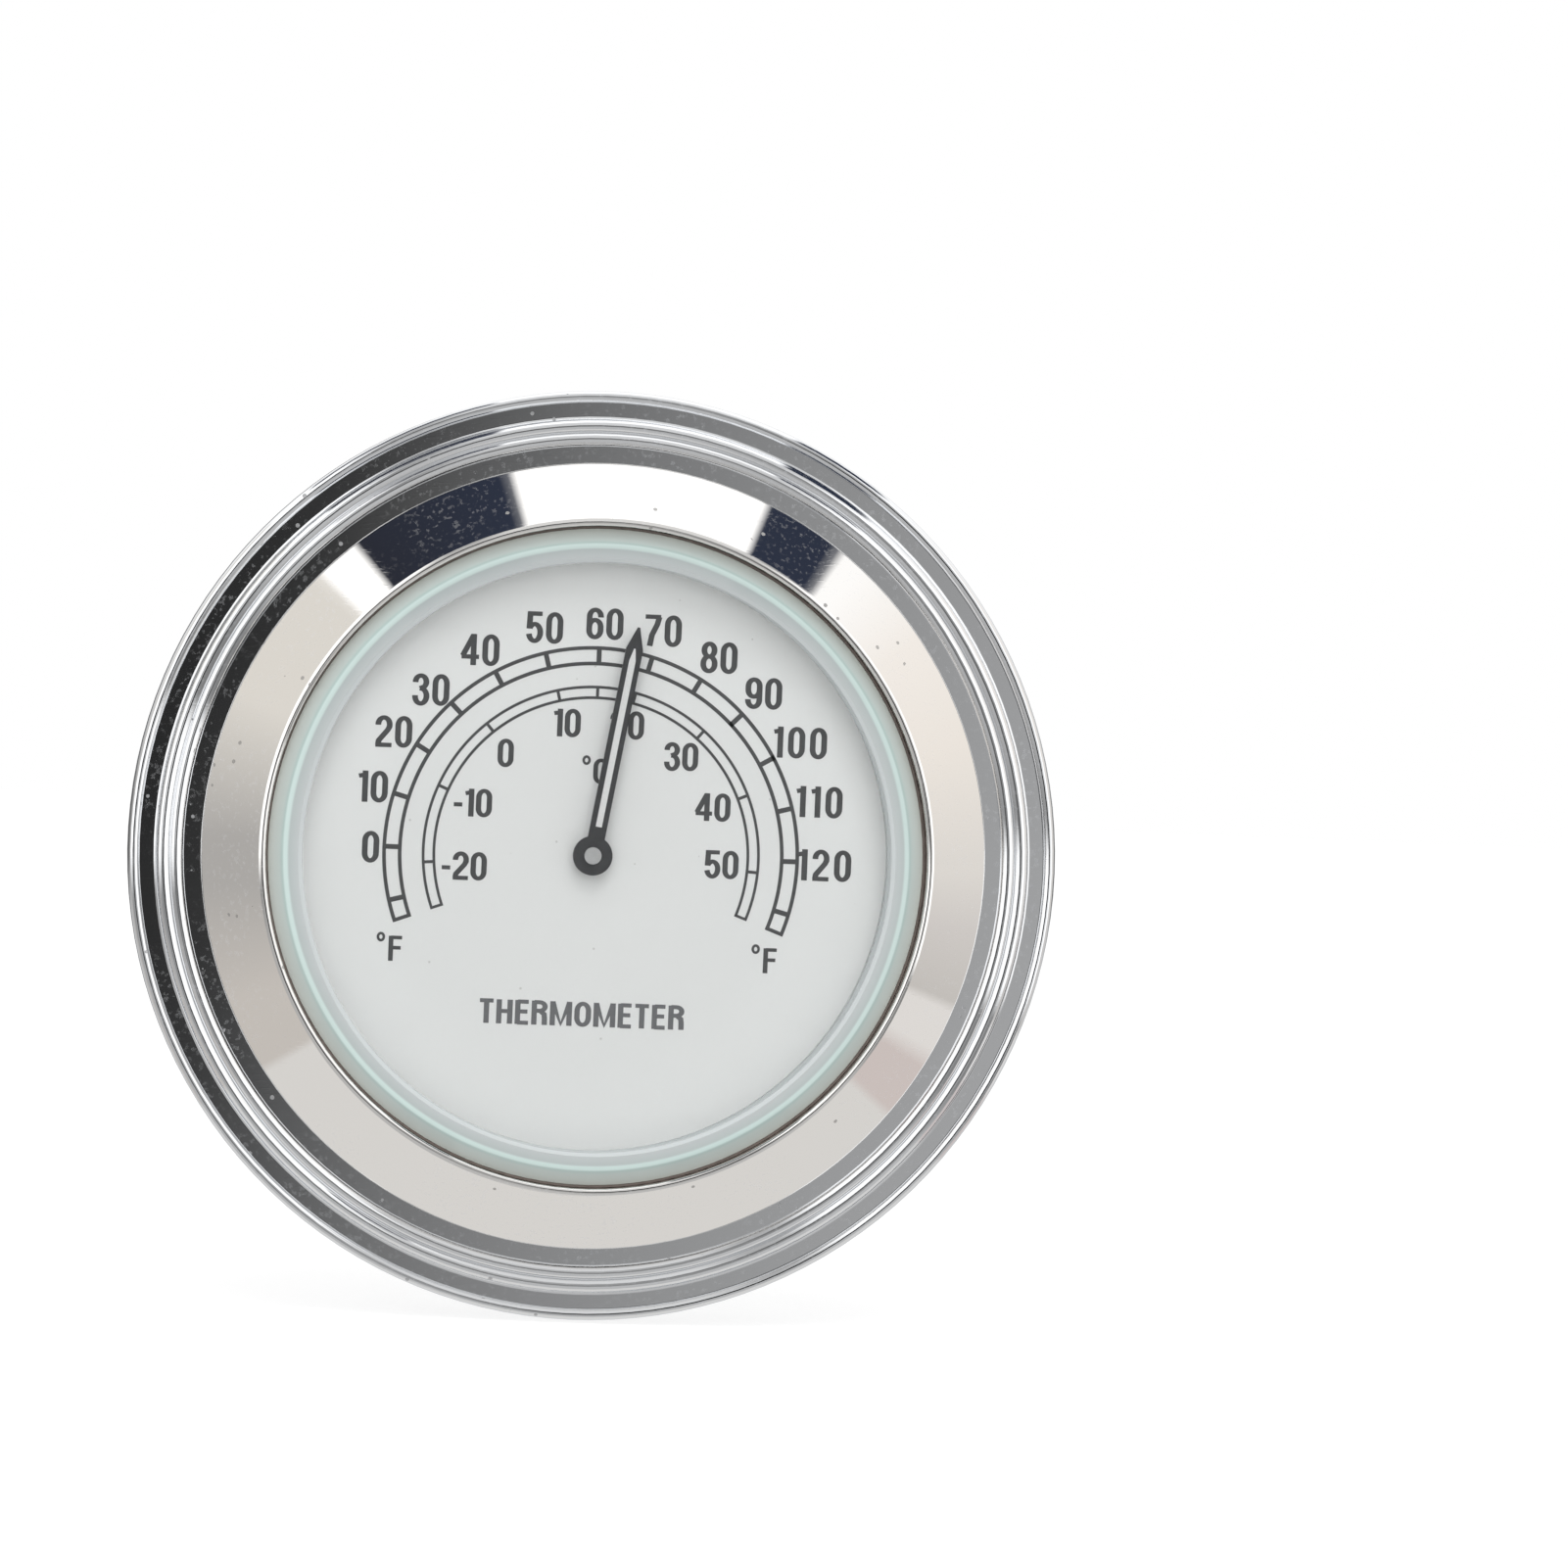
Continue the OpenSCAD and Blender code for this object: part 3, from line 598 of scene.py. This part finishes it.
def print_figures():
    """The figures of both scales."""
    build = bmesh.new()
    for value, x, y in F_FIGURES:
        write(build, str(value), x, y, FIGURE_H, 0.22 if value < 100 else 0.36, 1.12)
    for value, x, y in C_FIGURES:
        write(build, str(value), x, y, SMALL_FIGURE_H, 0.16, 1.18, 1.06)
    finish_print("scale_figures", build, INK)


def print_stripe():
    """The pale stripe along the black pointer, narrowing into its tip."""
    low_z = level("pointer") + INK_LIFT
    right = [(0.2, 1.9), (0.21, 12.85), (0.05, 13.65)]
    outline = right + [(-x, y) for x, y in reversed(right)]
    turn = math.radians(READING)
    outline = [(x * math.cos(turn) + y * math.sin(turn), y * math.cos(turn) - x * math.sin(turn))
               for x, y in outline]
    build = bmesh.new()
    low, high = ([build.verts.new(at(x, y, z)) for x, y in outline] for z in (low_z, low_z + INK_T))
    build.faces.new(low)
    build.faces.new(high)
    for i, corner in enumerate(low):
        after = (i + 1) % len(low)
        build.faces.new((corner, low[after], high[after], high[i]))
    finish_print("pointer_stripe", build, STRIPE, "pointer")


def print_units():
    """The unit marks with their degree rings, and the word."""
    build = bmesh.new()
    for letter, x, y in (("C", 0.41, 5.45), ("F", -12.45, -6.51), ("F", 11.9, -6.42)):
        write(build, letter, x, y, UNIT_H, 0, 1.15, 1.05)
        rise = 0.69 if letter == "C" else 0.73
        ring = oval_arc(x - 0.95, y + rise, 0.19, 0.23, 0, 360, 24)[:-1]
        ink(build, ring, True, (0.085, 0.085))
    finish_print("unit_marks", build, INK)
    build = bmesh.new()
    write(build, "THERMOMETER", -0.2, -10.33, WORD_H, 0.245, 1.35)
    finish_print("word_thermometer", build, WORD_INK)


print_scales()
print_figures()
print_stripe()
print_units()


# ---------------------------------------------------------------- camera

VIEW_AZIMUTH = -4.5
VIEW_ELEVATION = 1.5
VIEW_DISTANCE = 0.6
VIEW_ROLL = 2.3
FRAME_WIDTH = 101.1 * MM
CENTRE_OFFSET = (-12.22 * MM, -4.67 * MM)   # where the gauge's centre lies from the middle of the frame


def add_camera():
    """A long lens in front of the dial, a little to the left and rolled as in the photo."""
    azimuth, elevation = math.radians(VIEW_AZIMUTH), math.radians(VIEW_ELEVATION)
    back = Vector((math.sin(azimuth) * math.cos(elevation),
                   -math.cos(azimuth) * math.cos(elevation), math.sin(elevation)))
    data = bpy.data.cameras.new("camera")
    data.lens = data.sensor_width * VIEW_DISTANCE / FRAME_WIDTH
    camera = bpy.data.objects.new("camera", data)
    bpy.context.scene.collection.objects.link(camera)
    camera.location = CENTRE + back * VIEW_DISTANCE
    turn = (-back).to_track_quat("-Z", "Y")
    turn = turn @ Quaternion((0, 0, 1), math.radians(VIEW_ROLL))
    turn = turn @ Quaternion((0, 1, 0), math.atan(CENTRE_OFFSET[0] / VIEW_DISTANCE))
    turn = turn @ Quaternion((1, 0, 0), math.atan(-CENTRE_OFFSET[1] / VIEW_DISTANCE))
    camera.rotation_mode = "QUATERNION"
    camera.rotation_quaternion = turn
    data.clip_start, data.clip_end = 0.01, 10
    bpy.context.scene.camera = camera


add_camera()


# ---------------------------------------------------------------- studio

def studio_world():
    """White to the camera. Metal mirrors a softbox overhead between two dark flags, and grey walls.

    Each ramp round the axis runs in degrees anticlockwise from 3 o'clock, as seen from the front.
    """
    world = bpy.data.worlds.new("studio")
    bpy.context.scene.world = world
    t = Tree(world)
    way = t.node("SeparateXYZ", Vector=t.node("TexCoord").outputs["Generated"])
    x, y, z = way.outputs
    front = t.math("MULTIPLY", y, -1.0)
    off_axis = t.math("DEGREES", t.math("ARCCOSINE", front))
    turn = t.math("DIVIDE", t.math("DEGREES", t.math("ARCTAN2", z, x)), 360.0)
    turn = t.math("FRACT", t.math("ADD", turn, 1.0))

    def place(angle):
        return (angle + VIEW_ROLL) / 360

    white, dark, deep = grey(1.25), (0.030, 0.038, 0.064), (0.026, 0.029, 0.042)
    high, right, low = (0.98, 0.94, 0.90), (0.79, 0.765, 0.735), (0.735, 0.725, 0.71)
    side_low, strip, pink = (0.60, 0.58, 0.56), (0.80, 0.78, 0.765), (0.65, 0.585, 0.57)
    left_high, left, left_low = (0.78, 0.755, 0.71), (0.45, 0.44, 0.43), (0.60, 0.57, 0.54)
    walls = t.ramp(turn, [
        (0.0, right), (place(14), (0.92, 0.875, 0.825)), (place(30), high), (place(43), grey(1.1)),
        (place(46.5), grey(1.1)), (place(47), dark), (place(59), dark), (place(59.5), white),
        (place(98.5), white), (place(99), dark), (place(124.5), deep), (place(125), white),
        (place(132), white), (place(132.8), left_high), (place(155), left_high), (place(178), left),
        (place(186), left), (place(205), left_low), (place(216), left_low), (place(217), low),
        (place(320), low), (place(320.7), pink), (place(329), pink), (place(330), strip),
        (place(337), strip), (place(338), side_low), (place(348), (0.68, 0.655, 0.64)), (place(356), right)])
    edges = t.ramp(turn, [
        (0.0, white), (place(44), white), (place(52), grey(0.6)), (place(60), grey(0.75)),
        (place(98), grey(0.75)), (place(106), grey(0.45)), (place(112), grey(0.5)), (place(119), white),
        (place(182), white), (place(188), grey(0.3)), (place(200), grey(0.45)), (place(225), grey(0.5)),
        (place(320), grey(0.55)), (place(330), grey(0.25)), (place(338), grey(0.25)), (place(342), white)])
    side = t.math("SUBTRACT", x, t.math("MULTIPLY", z, 0.25))
    lens = t.math("DIVIDE", t.math("SUBTRACT", side, 0.03), 0.11)
    near = t.ramp(lens, [(0.0, grey(0.018)), (0.16, grey(0.035)), (0.38, grey(0.18)), (0.6, grey(0.29)),
                         (0.95, grey(0.41))])
    around_lens = t.ramp(turn, [
        (0.0, grey(0.5)), (place(60), grey(0.3)), (place(85), grey(0.25)), (place(110), grey(0.12)),
        (place(180), grey(0.09)), (place(225), grey(0.12)), (place(260), grey(0.32)),
        (place(330), grey(0.5))])
    pattern = t.mix(t.smooth(off_axis, 8.0, 12.0), near, around_lens)
    pattern = t.mix(t.smooth(off_axis, 15.0, 22.0), pattern, edges)
    pattern = t.mix(t.smooth(off_axis, 58.0, 60.0), pattern, walls)
    height = t.math("ADD", t.math("MULTIPLY", z, 0.5), 0.5)
    behind = t.ramp(height, [(0.0, grey(0.75)), (0.42, grey(0.6)), (0.47, grey(0.1)), (0.53, grey(0.16)),
                             (0.6, grey(0.55)), (0.8, grey(1.15)), (1.0, grey(1.2))])
    pattern = t.mix(t.smooth(off_axis, 88.0, 112.0), pattern, behind)
    path = t.node("LightPath")
    plain = (0.8, 0.8, 0.8, 1)
    lit = t.mix(path.outputs["Is Glossy Ray"], plain, pattern)
    seen = t.mix(path.outputs["Is Camera Ray"], lit, (1, 1, 1, 1))
    shine = t.node("Background", Color=seen, Strength=1.0)
    t.tree.links.new(shine.outputs[0], t.node("OutputWorld").inputs["Surface"])


def floor():
    """A plain pale floor under the flange: white to the camera apart from a soft shadow."""
    size = 1.5
    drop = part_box("housing")[0].z - 0.0002
    data = bpy.data.meshes.new("floor")
    data.from_pydata([(-size, -size, drop), (size, -size, drop), (size, size, drop), (-size, size, drop)],
                     [], [(0, 1, 2, 3)])
    ground = bpy.data.objects.new("floor", data)
    bpy.context.scene.collection.objects.link(ground)
    material = bpy.data.materials.new("floor")
    t = Tree(material)
    lit = t.node("BsdfDiffuse", Color=(0.8, 0.8, 0.8, 1))
    glow = t.node("Emission", Color=(1, 1, 1, 1), Strength=0.78)
    shown = t.node("AddShader")
    t.set(shown, "i0", t.node("BsdfDiffuse", Color=(0.32, 0.32, 0.32, 1)))
    t.set(shown, "i1", glow)
    path = t.node("LightPath")
    clear = t.node("BsdfTransparent", Color=(1, 1, 1, 1))
    first = t.node("MixShader", Fac=path.outputs["Is Glossy Ray"])
    t.set(first, "i1", lit)
    t.set(first, "i2", clear)
    both = t.node("MixShader", Fac=path.outputs["Is Camera Ray"])
    t.set(both, "i1", first)
    t.set(both, "i2", shown)
    t.tree.links.new(both.outputs[0], t.node("OutputMaterial").inputs["Surface"])
    data.materials.append(material)


def softbox(name, place, size, power):
    """A round area light that faces the gauge and isn't mirrored; metres and watts."""
    data = bpy.data.lights.new(name, "AREA")
    data.shape = "DISK"
    data.size = size
    data.energy = power
    lamp = bpy.data.objects.new(name, data)
    bpy.context.scene.collection.objects.link(lamp)
    lamp.location = place
    lamp.rotation_mode = "QUATERNION"
    lamp.rotation_quaternion = (CENTRE - Vector(place)).to_track_quat("-Z", "Y")
    lamp.visible_glossy = False


studio_world()
floor()
softbox("key", (0.02, -0.6, 0.6), 0.5, 2.6)
softbox("fill", (-0.05, -0.8, 0.1), 0.6, 2.7)

bpy.context.scene.view_settings.view_transform = "Standard"
